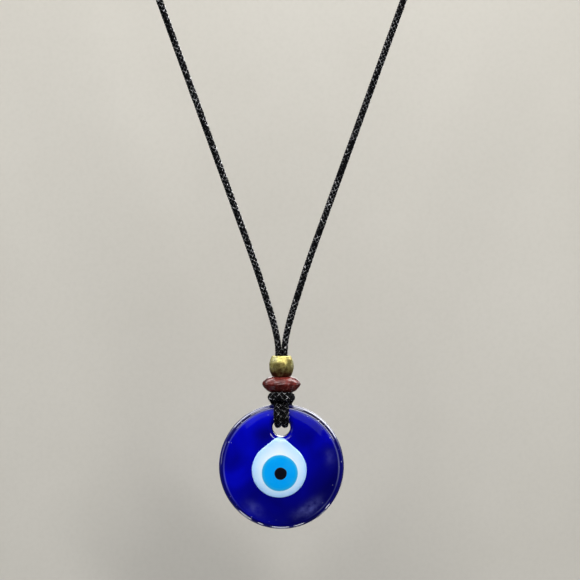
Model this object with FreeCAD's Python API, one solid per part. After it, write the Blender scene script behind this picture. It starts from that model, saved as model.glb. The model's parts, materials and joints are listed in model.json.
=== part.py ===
import FreeCAD, Part
import math
import os

os.makedirs("parts", exist_ok=True)

# Evil eye pendant necklace, in millimetres. It hangs in the XZ plane with the eye facing -Y.
# The origin is the inside top of the neck loop, the point that rests on a hook or a neck.
# Heights given "over the disc" are measured up from the centre of the glass disc.

V = FreeCAD.Vector
X_AXIS = V(1, 0, 0)
Y_AXIS = V(0, 1, 0)
Z_AXIS = V(0, 0, 1)

# Driving dimensions
DISC_DIAMETER = 35.0
DISC_THICKNESS = 6.0
CORD_DIAMETER = 2.0
DISC_BELOW_LOOP = 226.5
STRAND_ANGLE = math.radians(20)

DISC_RADIUS = DISC_DIAMETER / 2
HALF_THICKNESS = DISC_THICKNESS / 2
CORD_RADIUS = CORD_DIAMETER / 2
SLACK = 0.005  # half the gap between two strands that lie side by side
TOLERANCE = 0.01  # for picking edges by their place

# Glass disc
FLAT_RADIUS = 11.5
SHOULDER_RADIUS = 15.9
SHOULDER_HALF_THICKNESS = 2.2
RIM_MIDDLE = (17.1, 1.2)
HOLE_RADIUS = 2.5
HOLE_OVER_DISC = 10.9
HOLE_ROUNDING = 1.5

# Eye, raised on the front face: (x, height over the disc), radius
WHITE_BODY = (-0.6, -0.8, 7.65)
WHITE_TIP = (-0.5, 5.75, 2.65)
IRIS = (-0.45, -1.55, 5.1)
PUPIL = (-0.2, -1.7, 1.75)
WHITE_DEPTH = 1.2
WHITE_RAISE = 0.55
IRIS_DEPTH = 0.2
IRIS_RAISE = 0.8
PUPIL_DEPTH = -0.4  # its back is in the iris, in front of the disc's face
PUPIL_RAISE = 0.95
WHITE_ROUNDING = 0.5
IRIS_ROUNDING = 0.2
PUPIL_ROUNDING = 0.1

# Beads on the doubled cord
BORE_RADIUS = 2.1
SAUCER_BOTTOM = 20.6
SAUCER_HEIGHT = 4.5
SAUCER_RADIUS = 5.425
SAUCER_FACE_RADIUS = 2.6
SAUCER_EDGE_ROUNDING = 0.4
SAUCER_BULGE = 0.3
SAUCER_BORE_CHAMFER = 0.35
BEAD_GAP = 0.05
BARREL_HEIGHT = 5.85
BARREL_RADIUS = 3.4
BARREL_FACE_RADIUS = 2.35
BARREL_END_ROUNDING = 0.45

# Heights over the disc where the cord changes from one stretch to the next
HITCH_TOP = 21.0
HITCH_STEPS = 4  # rings between one station of the hitch and the next
STRANDS_MEET = 34.9
BEND_TOP = 46.6

# Neck loop: (half separation of the strands, height over the disc) along the bend
BEND_MIDDLE = (2.43, 41.0)
BEND_END = (4.14, BEND_TOP)
BEND_END_ANGLE = math.radians(17)
STRAIGHT_START = (9.8, 63.5)
CORNER_RADIUS = 24.0
RUN_HEIGHT = CORD_RADIUS
RUN_OFFSET = CORD_RADIUS + 0.05

# The corner starts where the straight part of the V meets it, which sets the run's length
CORNER_START_HEIGHT = RUN_HEIGHT - CORNER_RADIUS * (1 + math.sin(STRAND_ANGLE))
STRAIGHT_RISE = CORNER_START_HEIGHT + DISC_BELOW_LOOP - STRAIGHT_START[1]
CORNER_START_X = STRAIGHT_START[0] + STRAIGHT_RISE * math.tan(STRAND_ANGLE)
RUN_HALF_LENGTH = CORNER_START_X - CORNER_RADIUS * math.cos(STRAND_ANGLE)

# Sliding knots
KNOT_X = 24.0
KNOT_LENGTH = 8.4
KNOT_CLEARANCE = 0.05
KNOT_END_ROUNDING = 0.9
TAIL_STRAIGHT = 5.5
TAIL_END = (15.5, 1.5, 2.4)  # along, sideways and up from the middle of the knot
TAIL_TIP_ROUNDING = 0.45


def over_disc(x, y, height):
    """Point at a height over the disc's centre."""
    return V(x, y, height - DISC_BELOW_LOOP)


def half_turn(shape):
    """The same shape turned half a turn about Z, which is how one cord end matches the other."""
    turned = shape.copy()
    turned.rotate(V(0, 0, 0), Z_AXIS, 180)
    return turned


def mirrored(shape):
    """The same shape on the other side of the YZ plane."""
    return shape.mirror(V(0, 0, 0), X_AXIS)


def save(shape, node):
    solid = shape.Solids[0]
    solid.exportStep("parts/" + node + ".step")


def spline(points, first, last):
    """Smooth curve through the points that leaves and arrives along the given directions."""
    curve = Part.BSplineCurve()
    curve.interpolate(Points=points, InitialTangent=first, FinalTangent=last)
    return curve


def tube(curve):
    """Round cord along a curve."""
    edge = curve.toShape()
    start = edge.valueAt(edge.FirstParameter)
    heading = edge.tangentAt(edge.FirstParameter)
    ring = Part.Wire([Part.makeCircle(CORD_RADIUS, start, heading)])
    return Part.Wire([edge]).makePipeShell([ring], True, False)


def smooth(stations, steps):
    """Points of a smooth path through the stations, each a tuple of numbers of any length.
    The first and last stations only set the directions in which the path starts and ends."""
    samples = []
    for index in range(1, len(stations) - 2):
        for step in range(steps):
            t = step / steps
            sample = []
            for before, here, there, after in zip(*stations[index - 1:index + 3]):
                bend = 2 * before - 5 * here + 4 * there - after
                twist = 3 * here - before - 3 * there + after
                sample.append(here + (t * (there - before) + t * t * bend + t ** 3 * twist) / 2)
            samples.append(sample)
    samples.append(list(stations[-2]))
    return samples


def swelling_tube(samples, first, last):
    """Round cord through samples (x, y, height over the disc, radius), made of short stretches
    between rings. Each ring is turned as little as it can be from the one before."""
    centres = [over_disc(x, y, height) for x, y, height, _ in samples]
    headings = [after - before for before, after in zip(centres, centres[2:])]
    headings = [first] + headings + [last]
    rings = []
    side = X_AXIS
    for centre, heading, sample in zip(centres, headings, samples):
        heading.normalize()
        side = side - heading * side.dot(heading)
        side.normalize()
        circle = Part.Circle(centre, heading, sample[3])
        circle.XAxis = side
        rings.append(Part.Wire([circle.toShape()]))
    return Part.makeLoft(rings, True, True)


# ---------------------------------------------------------------- glass disc and eye


def disc_half_outline(side):
    """Outline from the axis to the rim on one face: flat, sloping shoulder, rounded rim."""
    fall = HALF_THICKNESS - SHOULDER_HALF_THICKNESS
    run = SHOULDER_RADIUS - FLAT_RADIUS
    shoulder_arc_radius = (run * run + fall * fall) / (2 * fall)
    half_run = run / 2
    arc_drop = shoulder_arc_radius - math.sqrt(shoulder_arc_radius ** 2 - half_run ** 2)
    centre = V(0, side * HALF_THICKNESS, 0)
    flat_end = V(FLAT_RADIUS, side * HALF_THICKNESS, 0)
    shoulder_middle = V(FLAT_RADIUS + half_run, side * (HALF_THICKNESS - arc_drop), 0)
    shoulder_end = V(SHOULDER_RADIUS, side * SHOULDER_HALF_THICKNESS, 0)
    rim_middle = V(RIM_MIDDLE[0], side * RIM_MIDDLE[1], 0)
    rim = V(DISC_RADIUS, 0, 0)
    return [
        Part.makeLine(centre, flat_end),
        Part.Arc(flat_end, shoulder_middle, shoulder_end).toShape(),
        Part.Arc(shoulder_end, rim_middle, rim).toShape(),
    ]


def disc_blank():
    """Disc with its rounded hanging hole, before the eye is set in it."""
    front = disc_half_outline(-1)
    back = disc_half_outline(1)
    axis = Part.makeLine(V(0, HALF_THICKNESS, 0), V(0, -HALF_THICKNESS, 0))
    outline = Part.Wire(Part.__sortEdges__(front + back + [axis]))
    blank = Part.Face(outline).revolve(V(0, 0, 0), Y_AXIS, 360)
    blank = Part.Solid(blank.Shells[0])
    hole_start = V(0, -DISC_THICKNESS, HOLE_OVER_DISC)
    hole = Part.makeCylinder(HOLE_RADIUS, 2 * DISC_THICKNESS, hole_start, Y_AXIS)
    blank = blank.cut(hole)
    edges = []
    for edge in blank.Edges:
        points = edge.discretize(9)
        away = [math.hypot(p.x, p.z - HOLE_OVER_DISC) for p in points]
        on_hole = max(away) < HOLE_RADIUS + TOLERANCE
        on_face = min(abs(p.y) for p in points) > HALF_THICKNESS / 2
        if on_hole and on_face:
            edges.append(edge)
    blank = blank.makeFillet(HOLE_ROUNDING, edges)
    blank.translate(over_disc(0, 0, 0))
    return blank


def drop_outline():
    """Outline of the white: two circles joined by their outer tangents."""
    body_x, body_z, body_r = WHITE_BODY
    tip_x, tip_z, tip_r = WHITE_TIP
    body = V(body_x, 0, body_z)
    tip = V(tip_x, 0, tip_z)
    lean = math.atan2(tip.x - body.x, tip.z - body.z)
    spread = math.acos((body_r - tip_r) / (tip - body).Length)

    def on_circle(centre, radius, angle):
        return centre + V(math.sin(angle), 0, math.cos(angle)) * radius

    left = lean - spread
    right = lean + spread
    body_left = on_circle(body, body_r, left)
    body_right = on_circle(body, body_r, right)
    tip_left = on_circle(tip, tip_r, left)
    tip_right = on_circle(tip, tip_r, right)
    return Part.Wire([
        Part.makeLine(body_left, tip_left),
        Part.Arc(tip_left, on_circle(tip, tip_r, lean), tip_right).toShape(),
        Part.makeLine(tip_right, body_right),
        Part.Arc(body_right, on_circle(body, body_r, lean + math.pi), body_left).toShape(),
    ])


def circle_outline(spot):
    x, z, radius = spot
    return Part.Wire([Part.makeCircle(radius, V(x, 0, z), Y_AXIS)])


def raised_layer(outline, depth, raise_height, rounding):
    """Layer of glass set into the front face and standing over it, with a rounded front edge."""
    bottom_y = -HALF_THICKNESS + depth
    top_y = -HALF_THICKNESS - raise_height
    face = Part.Face(outline)
    face.translate(V(0, bottom_y, 0))
    layer = face.extrude(V(0, top_y - bottom_y, 0))
    edges = [edge for edge in layer.Edges if abs(edge.BoundBox.YMax - top_y) < TOLERANCE]
    layer = layer.makeFillet(rounding, edges)
    layer.translate(over_disc(0, 0, 0))
    return layer


def disc_and_eye():
    blank = disc_blank()
    white = raised_layer(drop_outline(), WHITE_DEPTH, WHITE_RAISE, WHITE_ROUNDING)
    iris = raised_layer(circle_outline(IRIS), IRIS_DEPTH, IRIS_RAISE, IRIS_ROUNDING)
    pupil = raised_layer(circle_outline(PUPIL), PUPIL_DEPTH, PUPIL_RAISE, PUPIL_ROUNDING)
    return {
        "glass_disc": blank.cut(white),
        "eye_white": white.cut(iris),
        "eye_iris": iris.cut(pupil),
        "eye_pupil": pupil,
    }


# ---------------------------------------------------------------- beads


def saucer_bead():
    """Lens shaped bead with a narrow rounded edge and a bore for the doubled cord."""
    half = SAUCER_HEIGHT / 2
    edge_x = SAUCER_RADIUS - SAUCER_EDGE_ROUNDING / 2
    shoulder_x = (SAUCER_FACE_RADIUS + SAUCER_RADIUS) / 2 + SAUCER_BULGE
    shoulder_lift = half / 2 + SAUCER_BULGE
    mouth = half - SAUCER_BORE_CHAMFER

    def at(radius, lift):
        return over_disc(radius, 0, SAUCER_BOTTOM + half + lift)

    def face_and_side(up):
        face = at(SAUCER_FACE_RADIUS, up * half)
        mouth_edge = at(BORE_RADIUS + SAUCER_BORE_CHAMFER, up * half)
        edge = at(edge_x, up * SAUCER_EDGE_ROUNDING)
        return [
            Part.makeLine(at(BORE_RADIUS, up * mouth), mouth_edge),
            Part.makeLine(mouth_edge, face),
            Part.Arc(face, at(shoulder_x, up * shoulder_lift), edge).toShape(),
        ]

    edge_low = at(edge_x, -SAUCER_EDGE_ROUNDING)
    edge_high = at(edge_x, SAUCER_EDGE_ROUNDING)
    rim = Part.Arc(edge_low, at(SAUCER_RADIUS, 0), edge_high).toShape()
    bore = Part.makeLine(at(BORE_RADIUS, mouth), at(BORE_RADIUS, -mouth))
    outline = Part.Wire(Part.__sortEdges__(face_and_side(-1) + [rim] + face_and_side(1) + [bore]))
    return Part.Face(outline).revolve(V(0, 0, 0), Z_AXIS, 360)


def barrel_bead():
    """Bulged bead with rounded ends and a bore for the doubled cord."""
    bottom = SAUCER_BOTTOM + SAUCER_HEIGHT + BEAD_GAP
    top = bottom + BARREL_HEIGHT
    middle = (bottom + top) / 2

    def at(radius, height):
        return over_disc(radius, 0, height)

    lip = BARREL_END_ROUNDING
    side_low = at(BARREL_FACE_RADIUS + lip, bottom + lip)
    side_high = at(BARREL_FACE_RADIUS + lip, top - lip)
    outline = Part.Wire([
        Part.makeLine(at(BORE_RADIUS, bottom), at(BARREL_FACE_RADIUS, bottom)),
        Part.makeLine(at(BARREL_FACE_RADIUS, bottom), side_low),
        Part.Arc(side_low, at(BARREL_RADIUS, middle), side_high).toShape(),
        Part.makeLine(side_high, at(BARREL_FACE_RADIUS, top)),
        Part.makeLine(at(BARREL_FACE_RADIUS, top), at(BORE_RADIUS, top)),
        Part.makeLine(at(BORE_RADIUS, top), at(BORE_RADIUS, bottom)),
    ])
    return Part.Face(outline).revolve(V(0, 0, 0), Z_AXIS, 360)


# ---------------------------------------------------------------- cord on the drop


def bead_cord():
    """Right strand of the pair, straight down through both beads."""
    x = CORD_RADIUS + SLACK
    start = over_disc(x, 0, HITCH_TOP)
    return Part.makeCylinder(CORD_RADIUS, STRANDS_MEET - HITCH_TOP, start, Z_AXIS)


def hitch_loop():
    """Lark's head hitch: down the front of the web, through the hole, up the back, over the
    rim and across the front of the pair. Stations are (x, y, height over the disc, radius)."""
    beside = CORD_RADIUS + SLACK
    right_half = [
        (beside, 0.0, HITCH_TOP, CORD_RADIUS),
        (beside, -0.6, 19.8, 1.0),
        (1.15, -2.5, 17.8, 1.08),
        (1.21, -3.9, 15.9, 1.16),
        (1.21, -4.2, 14.6, 1.17),
        (1.17, -3.75, 13.25, 1.12),
        (1.06, -2.3, 12.1, 1.03),
        (1.02, 0.0, 11.75, 1.0),
        (1.06, 2.3, 12.1, 1.03),
        (1.14, 3.75, 13.25, 1.07),
        (1.25, 4.2, 14.6, 1.1),
        (1.6, 4.0, 16.3, 1.08),
        (2.3, 2.9, 18.3, 1.0),
        (2.86, 1.0, 19.35, 0.94),
        (2.88, -1.2, 19.5, 0.94),
        (2.72, -3.1, 19.5, 1.02),
        (1.7, -4.15, 19.45, 1.15),
        (0.0, -4.3, 19.45, 1.18),
    ]
    x, y, height, radius = right_half[1]
    lead_in = (x, y, 2 * HITCH_TOP - height, radius)
    right_half = [lead_in] + right_half
    left_half = [(-x, y, height, radius) for x, y, height, radius in reversed(right_half[:-1])]
    samples = smooth(right_half + left_half, HITCH_STEPS)
    return swelling_tube(samples, V(0, 0, -1), V(0, 0, 1))


# ---------------------------------------------------------------- neck loop


def direction(angle):
    """Unit vector in the XZ plane, leaning from up towards +X."""
    return V(math.sin(angle), 0, math.cos(angle))


def cord_bend():
    """Right strand where the pair opens into the V."""
    points = [
        over_disc(CORD_RADIUS + SLACK, 0, STRANDS_MEET),
        over_disc(BEND_MIDDLE[0], 0, BEND_MIDDLE[1]),
        over_disc(BEND_END[0], 0, BEND_END[1]),
    ]
    return tube(spline(points, direction(0), direction(BEND_END_ANGLE)))


def strand():
    """Right strand from the bend up the V and round the corner to the top run. Its plane leans
    back a little from the middle plane, so that the two strands lie side by side at the top."""
    corner_x = RUN_HALF_LENGTH
    corner_z = RUN_HEIGHT - CORNER_RADIUS
    bend_end = over_disc(BEND_END[0], 0, BEND_END[1])
    leave = over_disc(STRAIGHT_START[0], 0, STRAIGHT_START[1])

    def on_corner(angle):
        return V(corner_x, 0, corner_z) + V(math.cos(angle), 0, math.sin(angle)) * CORNER_RADIUS

    corner_start = on_corner(-STRAND_ANGLE)
    foot = spline([bend_end, leave], direction(BEND_END_ANGLE), corner_start - leave)
    corner_middle = on_corner((math.pi / 2 - STRAND_ANGLE) / 2)
    path = Part.Wire([
        foot.toShape(),
        Part.makeLine(leave, corner_start),
        Part.Arc(corner_start, corner_middle, on_corner(math.pi / 2)).toShape(),
    ])
    ring = Part.Wire([Part.makeCircle(CORD_RADIUS, bend_end, direction(BEND_END_ANGLE))])
    body = path.makePipeShell([ring], True, False)
    lean = math.degrees(math.asin(RUN_OFFSET / (RUN_HEIGHT - bend_end.z)))
    body.rotate(bend_end, X_AXIS, -lean)
    return body


def run():
    """Right strand along the top, into the middle of the left knot."""
    length = RUN_HALF_LENGTH + KNOT_X
    start = V(-KNOT_X, RUN_OFFSET, RUN_HEIGHT)
    return Part.makeCylinder(CORD_RADIUS, length, start, X_AXIS)


def oval(half_width, half_height, x):
    """Closed oval in the YZ plane, round at its two sides."""
    flat = half_width - half_height
    top = half_height + RUN_HEIGHT
    bottom = RUN_HEIGHT - half_height
    return Part.Wire([
        Part.makeLine(V(x, -flat, top), V(x, flat, top)),
        Part.Arc(V(x, flat, top), V(x, half_width, RUN_HEIGHT), V(x, flat, bottom)).toShape(),
        Part.makeLine(V(x, flat, bottom), V(x, -flat, bottom)),
        Part.Arc(V(x, -flat, bottom), V(x, -half_width, RUN_HEIGHT), V(x, -flat, top)).toShape(),
    ])


def sliding_knot():
    """Left knot: the right strand's end wrapped round both strands of the run."""
    inner = CORD_RADIUS + KNOT_CLEARANCE
    outer = inner + CORD_DIAMETER
    start_x = -KNOT_X - KNOT_LENGTH / 2
    along = V(KNOT_LENGTH, 0, 0)
    body = Part.Face(oval(RUN_OFFSET + outer, outer, start_x)).extrude(along)
    ends = [edge for edge in body.Edges if edge.BoundBox.XLength < TOLERANCE]
    body = body.makeFillet(KNOT_END_ROUNDING, ends)
    passage = Part.Face(oval(RUN_OFFSET + inner, inner, start_x)).extrude(along)
    return body.cut(passage)


def tail():
    """Free end of the right strand, standing out of the left knot."""
    along, sideways, up = TAIL_END
    start = V(-KNOT_X, RUN_OFFSET, RUN_HEIGHT)
    bend = start - V(TAIL_STRAIGHT, 0, 0)
    end = start + V(-along, sideways, up)
    curve = spline([bend, end], -X_AXIS, V(-along + TAIL_STRAIGHT, 2 * sideways, 2 * up))
    path = Part.Wire([Part.makeLine(start, bend), curve.toShape()])
    ring = Part.Wire([Part.makeCircle(CORD_RADIUS, start, X_AXIS)])
    body = path.makePipeShell([ring], True, False)
    tip_edges = []
    for edge in body.Edges:
        points = edge.discretize(5)
        if max((point - end).Length for point in points) < CORD_RADIUS + TOLERANCE:
            tip_edges.append(edge)
    return body.makeFillet(TAIL_TIP_ROUNDING, tip_edges)


# ---------------------------------------------------------------- all pieces

pieces = disc_and_eye()
pieces["saucer_bead"] = saucer_bead()
pieces["barrel_bead"] = barrel_bead()
pieces["hitch_loop"] = hitch_loop()
pieces["right_bead_cord"] = bead_cord()
pieces["left_bead_cord"] = mirrored(bead_cord())
pieces["right_cord_bend"] = cord_bend()
pieces["left_cord_bend"] = mirrored(cord_bend())
pieces["right_strand"] = strand()
pieces["left_strand"] = half_turn(strand())
pieces["right_run"] = run()
pieces["left_run"] = half_turn(run())
pieces["left_sliding_knot"] = sliding_knot()
pieces["right_sliding_knot"] = half_turn(sliding_knot())
pieces["left_tail"] = tail()
pieces["right_tail"] = half_turn(tail())

for node, shape in pieces.items():
    save(shape, node)
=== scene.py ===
"""Looks of the evil eye pendant necklace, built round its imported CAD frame.

Lengths in this script are millimetres in the CAD's row frame, turned into metres when a mesh is
made; only the light cards have theirs in metres. "Over the disc" means the height above the
centre of the glass disc.
"""

import json
import math

import bpy
import numpy as np
from mathutils import Matrix, Vector

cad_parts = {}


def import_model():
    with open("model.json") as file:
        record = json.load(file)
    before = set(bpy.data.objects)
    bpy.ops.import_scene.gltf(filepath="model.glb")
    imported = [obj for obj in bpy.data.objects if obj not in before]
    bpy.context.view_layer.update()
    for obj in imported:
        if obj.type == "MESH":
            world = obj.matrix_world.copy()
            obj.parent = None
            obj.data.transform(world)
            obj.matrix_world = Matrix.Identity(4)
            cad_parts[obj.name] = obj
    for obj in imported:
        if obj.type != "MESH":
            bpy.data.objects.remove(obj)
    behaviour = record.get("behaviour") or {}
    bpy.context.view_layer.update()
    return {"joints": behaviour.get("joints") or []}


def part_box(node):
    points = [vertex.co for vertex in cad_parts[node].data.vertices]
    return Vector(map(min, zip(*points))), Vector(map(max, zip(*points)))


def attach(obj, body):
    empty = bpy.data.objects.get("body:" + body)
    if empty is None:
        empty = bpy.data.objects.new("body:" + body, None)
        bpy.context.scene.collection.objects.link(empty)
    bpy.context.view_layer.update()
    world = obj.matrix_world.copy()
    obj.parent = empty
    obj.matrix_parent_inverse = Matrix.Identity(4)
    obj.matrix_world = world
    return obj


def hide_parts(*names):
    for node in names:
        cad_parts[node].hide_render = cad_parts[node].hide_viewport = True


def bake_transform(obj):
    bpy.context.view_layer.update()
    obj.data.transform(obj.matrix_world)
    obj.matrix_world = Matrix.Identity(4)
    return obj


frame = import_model()

MM = 0.001
TURN = 2 * math.pi


# ------------------------------------------------------------------ the frame, in millimetres


def box_mm(node):
    low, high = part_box(node)
    return np.array(low) / MM, np.array(high) / MM


def joint_mm(name):
    found = [joint for joint in frame["joints"] if joint["name"] == name]
    return np.array(found[0]["pos_m"]) / MM


disc_low, disc_high = box_mm("glass_disc")
DISC_Z = (disc_low[2] + disc_high[2]) / 2
DISC_RADIUS = (disc_high[0] - disc_low[0]) / 2
HALF_THICKNESS = (disc_high[1] - disc_low[1]) / 2

run_low, run_high = box_mm("right_run")
CORD_RADIUS = (run_high[1] - run_low[1]) / 2
RUN_OFFSET = (run_high[1] + run_low[1]) / 2
RUN_HEIGHT = (run_high[2] + run_low[2]) / 2
RUN_HALF_LENGTH = run_high[0]
KNOT_X = -run_low[0]

CORNER_RADIUS = box_mm("right_strand")[1][0] - CORD_RADIUS - RUN_HALF_LENGTH
BEND_TOP = joint_mm("drop_swing")[2]
STRANDS_MEET = joint_mm("drop_sway")[2]
HITCH_TOP = box_mm("right_bead_cord")[0][2]
BARREL_TOP = box_mm("barrel_bead")[1][2]


# ------------------------------------------------------------------ meshes


def add_object(name, data):
    made = bpy.data.objects.new(name, data)
    bpy.context.scene.collection.objects.link(made)
    return made


def make_mesh(name, points, faces, materials, face_materials=None):
    """Smooth mesh object from points in millimetres and a list of faces."""
    mesh = bpy.data.meshes.new(name)
    mesh.from_pydata((np.asarray(points) * MM).tolist(), [], faces)
    for material in materials:
        mesh.materials.append(material)
    if face_materials is not None:
        mesh.polygons.foreach_set("material_index", np.asarray(face_materials, np.int32))
    mesh.polygons.foreach_set("use_smooth", np.full(len(mesh.polygons), True))
    mesh.update()
    return add_object(name, mesh)


def stand_for(made, node, body, blend=None):
    """Takes the place of a CAD node. It rides on a body; one given a blend is not attached, and
    has its place baked into its points.
    """
    if blend is None:
        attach(made, body)
    else:
        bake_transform(made)
    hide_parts(node)


def store(mesh, name, values):
    """One value per point, for the materials to read."""
    mesh.attributes.new(name, "FLOAT", "POINT").data.foreach_set("value", values)


def grid_faces(rows, columns, close_rows=False, first=0):
    """Quads of rings of points, ring by ring; close_rows joins the last ring to the first."""
    row = np.arange(rows if close_rows else rows - 1)
    column = np.arange(columns)
    row, column = [a.ravel() for a in np.meshgrid(row, column, indexing="ij")]
    next_row = (row + 1) % rows
    next_column = (column + 1) % columns
    corners = [
        row * columns + column,
        row * columns + next_column,
        next_row * columns + next_column,
        next_row * columns + column,
    ]
    return np.stack(corners, axis=1) + first


def lathe(name, outline, steps, material, wobble):
    """Surface turned about the Z axis from a closed outline of (radius, height)."""
    outline = np.asarray(outline, float)
    angles = np.arange(steps) * TURN / steps
    radius, angle = np.meshgrid(outline[:, 0], angles, indexing="ij")
    height = np.repeat(outline[:, 1][:, None], steps, axis=1)
    radius = radius + wobble(angle, height, radius)
    points = np.stack([radius * np.cos(angle), radius * np.sin(angle), height], axis=-1)
    faces = grid_faces(len(outline), steps, close_rows=True)
    return make_mesh(name, points.reshape(-1, 3), faces.tolist(), [material])


def waves(x, y, z, count, length, seed):
    """Smooth random ripple between about -1 and 1, a sum of sine waves of about one length."""
    picker = np.random.default_rng(seed)
    total = np.zeros(np.broadcast(x, y, z).shape)
    for _ in range(count):
        direction = picker.normal(size=3)
        direction /= np.linalg.norm(direction)
        stretch = TURN / (length * picker.uniform(0.7, 1.5))
        phase = picker.uniform(0, TURN)
        along = direction[0] * x + direction[1] * y + direction[2] * z
        total += np.sin(stretch * along + phase)
    return total / math.sqrt(count)


# ------------------------------------------------------------------ materials

NOISE_ROUGHNESS = 0.55


class Nodes:
    """Short way of adding nodes to a tree."""

    def __init__(self, tree):
        self.tree = tree

    def node(self, kind, **settings):
        made = self.tree.nodes.new(kind)
        for key, value in settings.items():
            setattr(made, key, value)
        return made

    def link(self, source, target):
        self.tree.links.new(source, target)

    def fill(self, socket, value):
        """Links a socket to the socket, or gives it the colour or the number."""
        if isinstance(value, bpy.types.NodeSocket):
            self.link(value, socket)
        elif socket.type == "RGBA":
            socket.default_value = (*value, 1.0)
        else:
            socket.default_value = value

    def mix(self, factor, first, second, blend="MIX"):
        made = self.node("ShaderNodeMix", data_type="RGBA", blend_type=blend)
        for value, socket in zip((factor, first, second), (0, 6, 7)):
            self.fill(made.inputs[socket], value)
        return made.outputs[2]

    def math(self, operation, first, second, clamp=True):
        made = self.node("ShaderNodeMath", operation=operation, use_clamp=clamp)
        self.link(first, made.inputs[0])
        self.link(second, made.inputs[1])
        return made.outputs[0]

    def multiply(self, first, second):
        return self.math("MULTIPLY", first, second)

    def span(self, factor, low, high, start=0.0, end=1.0, shape="LINEAR"):
        """Maps start..end of the factor to low..high."""
        made = self.node("ShaderNodeMapRange", interpolation_type=shape)
        made.inputs["From Min"].default_value = start
        made.inputs["From Max"].default_value = end
        made.inputs["To Min"].default_value = low
        made.inputs["To Max"].default_value = high
        self.link(factor, made.inputs["Value"])
        return made.outputs["Result"]


class Shader(Nodes):
    """A node material with one main surface."""

    def __init__(self, name):
        self.material = bpy.data.materials.new(name)
        self.material.use_nodes = True
        super().__init__(self.material.node_tree)
        self.surface = self.tree.nodes["Principled BSDF"]
        self.coordinates = self.node("ShaderNodeTexCoord").outputs["Object"]

    def set(self, **values):
        for key, value in values.items():
            self.fill(self.surface.inputs[key.replace("_", " ")], value)

    def noise(self, scale, detail=3.0, stretch=(1, 1, 1), distortion=0.0):
        """Cloudy noise; the scale is in lumps per metre."""
        mapping = self.node("ShaderNodeMapping")
        mapping.inputs["Scale"].default_value = stretch
        self.link(self.coordinates, mapping.inputs["Vector"])
        made = self.node("ShaderNodeTexNoise")
        made.inputs["Scale"].default_value = scale
        made.inputs["Detail"].default_value = detail
        made.inputs["Roughness"].default_value = NOISE_ROUGHNESS
        made.inputs["Distortion"].default_value = distortion
        self.link(mapping.outputs["Vector"], made.inputs["Vector"])
        return made.outputs["Fac"]

    def attribute(self, name):
        made = self.node("ShaderNodeAttribute", attribute_name=name)
        return made.outputs["Fac"]

    def ramp(self, factor, *stops):
        """Colour ramp over (position, colour) stops."""
        made = self.node("ShaderNodeValToRGB")
        elements = made.color_ramp.elements
        while len(elements) < len(stops):
            elements.new(1.0)
        for element, (position, colour) in zip(elements, stops):
            element.position = position
            element.color = (*colour, 1.0)
        self.link(factor, made.inputs["Fac"])
        return made.outputs["Color"]

    def bump(self, height, depth_mm, strength, before=None):
        made = self.node("ShaderNodeBump")
        made.inputs["Distance"].default_value = depth_mm * MM
        made.inputs["Strength"].default_value = strength
        self.link(height, made.inputs["Height"])
        if before is not None:
            self.link(before, made.inputs["Normal"])
        return made.outputs["Normal"]


def cobalt_glass():
    """Deep blue glass, cloudy inside, with a painted glow, painted shade and painted reflections
    on its face, and a painted dark reflection in the rim between two painted highlight lines.
    """
    shader = Shader("cobalt_glass")
    depth = shader.noise(80, detail=2.0, distortion=0.6)
    body = shader.ramp(
        depth,
        (0.36, (0.0003, 0.0003, 0.200)),
        (0.52, (0.0003, 0.0004, 0.320)),
        (0.70, (0.0006, 0.0016, 0.500)),
    )
    # Painted glow and painted shade on the face, by place
    body = shader.mix(shader.attribute("painted_glow"), body, (0.0006, 0.0016, 0.500))
    body = shader.mix(shader.attribute("shade"), body, (0.0006, 0.0003, 0.085))
    lit = shader.attribute("lit")
    # Painted reflections: soft pale patches near the shoulder, made cloudy by noise
    cloudy = shader.span(shader.noise(420, detail=3.0), 0.15, 1.0, 0.34, 0.66)
    painted_reflection = shader.multiply(shader.attribute("painted_reflection"), cloudy)
    body = shader.mix(painted_reflection, body, (0.085, 0.095, 0.360))
    # The rim band is painted a dark reflection, darkest where the rim is lit.
    rim = shader.mix(lit, (0.0016, 0.0014, 0.125), (0.0006, 0.0006, 0.022))
    colour = shader.mix(shader.attribute("rim"), body, rim)
    # Painted highlight lines: a pale line at the shoulder's edge and one near the outer edge.
    colour = shader.mix(shader.attribute("painted_inner_highlight"), colour, (0.34, 0.38, 0.70))
    colour = shader.mix(shader.attribute("painted_outer_highlight"), colour, (0.72, 0.76, 0.90))
    # Pale specks near the rim: small marks with bumps, painted brighter where the rim is lit, so
    # partly painted glints.
    seeds = shader.noise(1300, detail=1.0)
    specks = shader.ramp(seeds, (0.735, (0, 0, 0)), (0.765, (1, 1, 1)))
    near_rim = shader.multiply(shader.attribute("near_rim"), shader.span(lit, 0.25, 1.0))
    colour = shader.mix(shader.multiply(specks, near_rim), colour, (0.62, 0.66, 0.85))
    soft = shader.bump(shader.noise(240, detail=1.0), 0.02, 0.5)
    shader.set(
        Base_Color=colour,
        Roughness=shader.span(shader.noise(420, detail=4.0), 0.02, 0.12),
        IOR=1.52,
        Coat_Weight=0.25,
        Coat_Roughness=0.03,
        Normal=shader.bump(specks, 0.004, 0.25, soft),
    )
    return shader.material


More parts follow.
